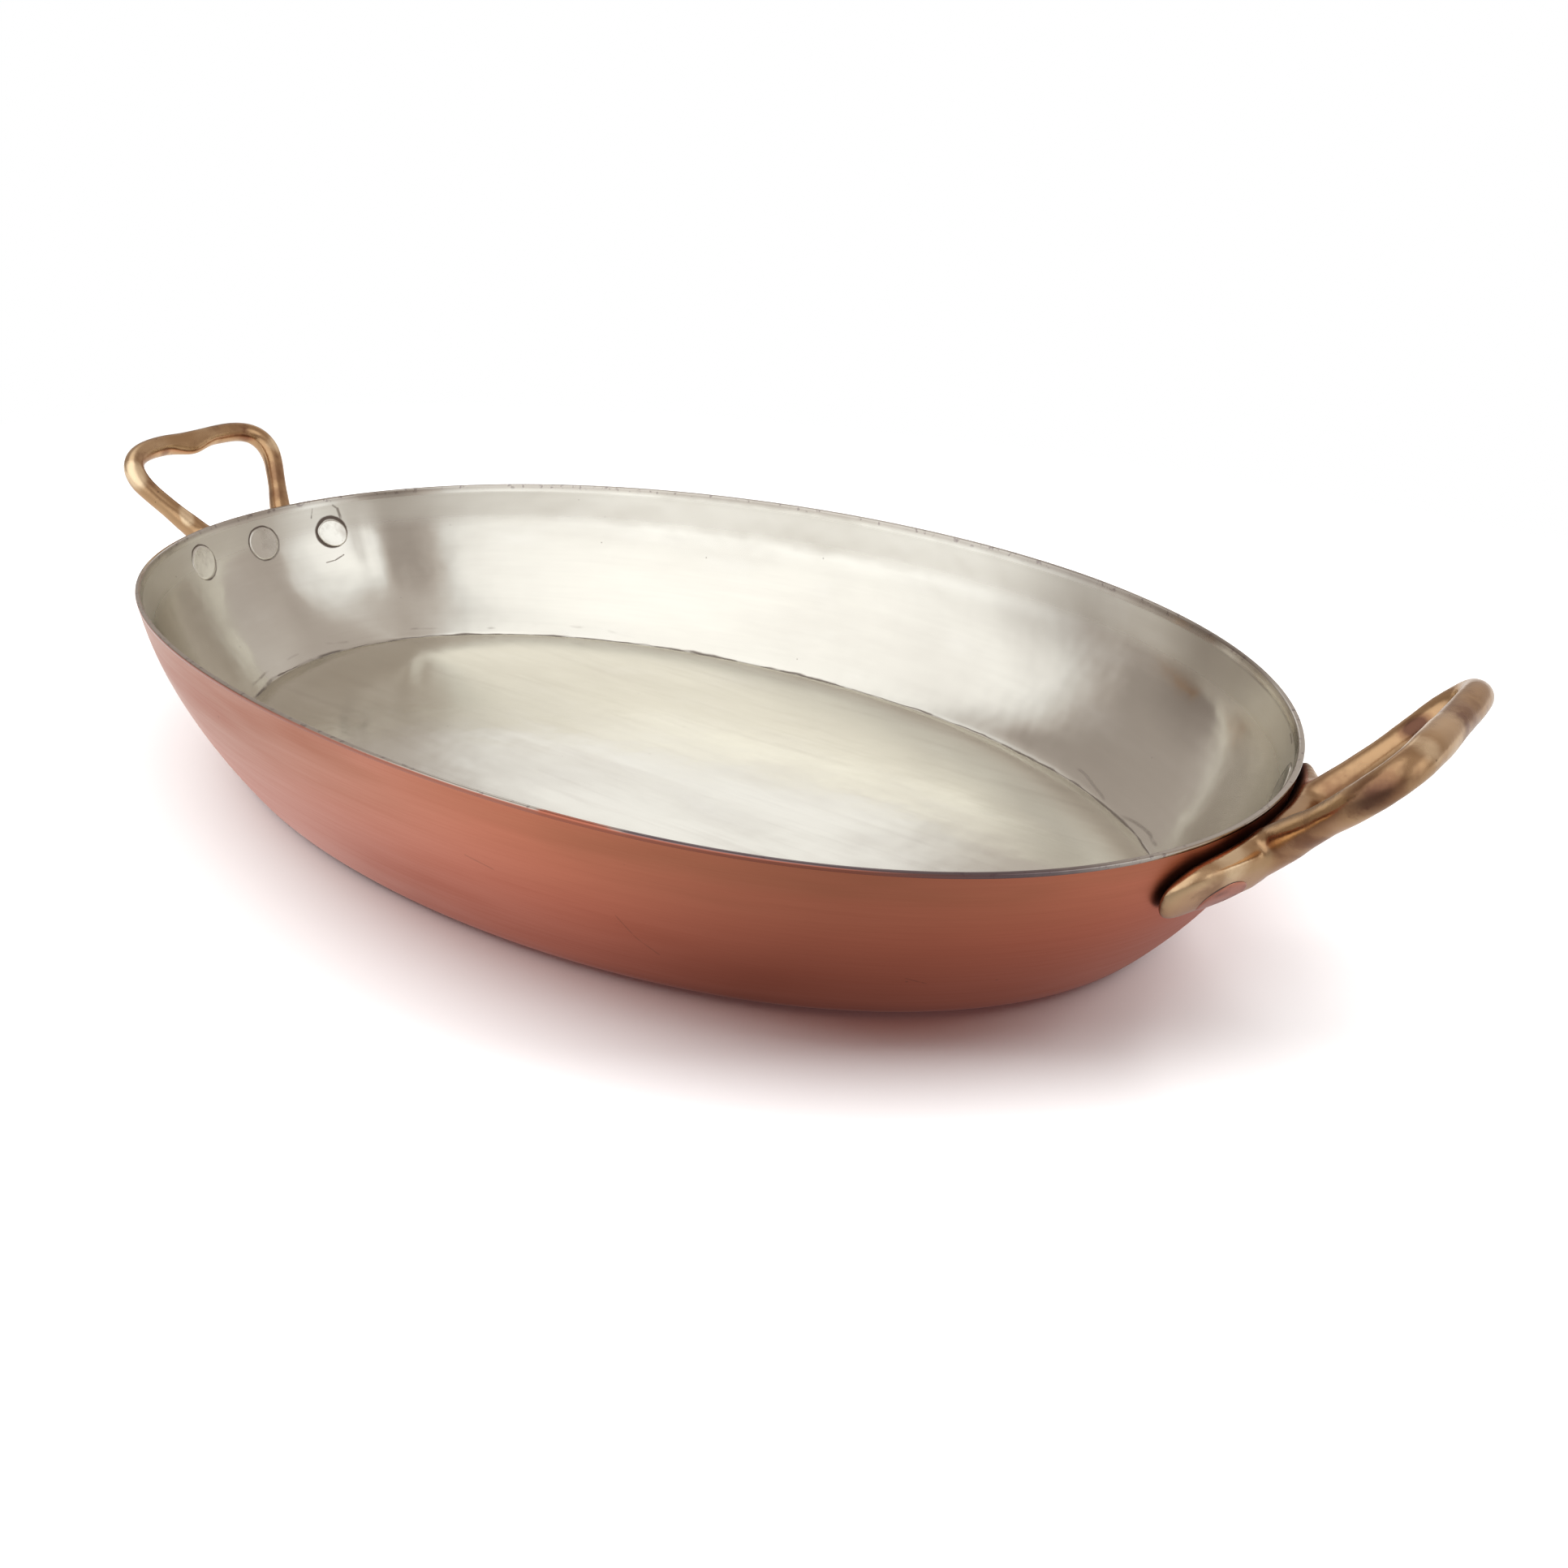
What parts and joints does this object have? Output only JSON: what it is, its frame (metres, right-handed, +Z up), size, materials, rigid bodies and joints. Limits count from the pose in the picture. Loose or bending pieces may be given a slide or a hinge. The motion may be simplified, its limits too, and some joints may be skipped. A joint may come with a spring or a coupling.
{
  "type": "oval gratin pan",
  "caption": "Oval copper pan with flaring walls, tinned inside, and a leaning brass loop handle riveted at each end.",
  "frame": {"origin": "middle of the flat base, on its underside", "axes": "+X along the pan towards the right handle, +Y across it, +Z up out of the pan"},
  "size_m": [0.4153, 0.2156, 0.0751],
  "materials": {
    "copper": "satin, finely brushed copper",
    "tin": "wiped tin, soft sheen with wipe marks",
    "brass": "cast brass, worn and darkened in the hollows",
    "rivet_copper": "copper rivet, tinned on its inner head"
  },
  "bodies": {
    "root": {"pan_shell": "copper", "tin_lining": "tin", "handle_left": "brass", "handle_right": "brass", "rivet_left_near": "rivet_copper", "rivet_left_middle": "rivet_copper", "rivet_left_far": "rivet_copper", "rivet_right_near": "rivet_copper", "rivet_right_middle": "rivet_copper", "rivet_right_far": "rivet_copper"}
  },
  "joints": []
}
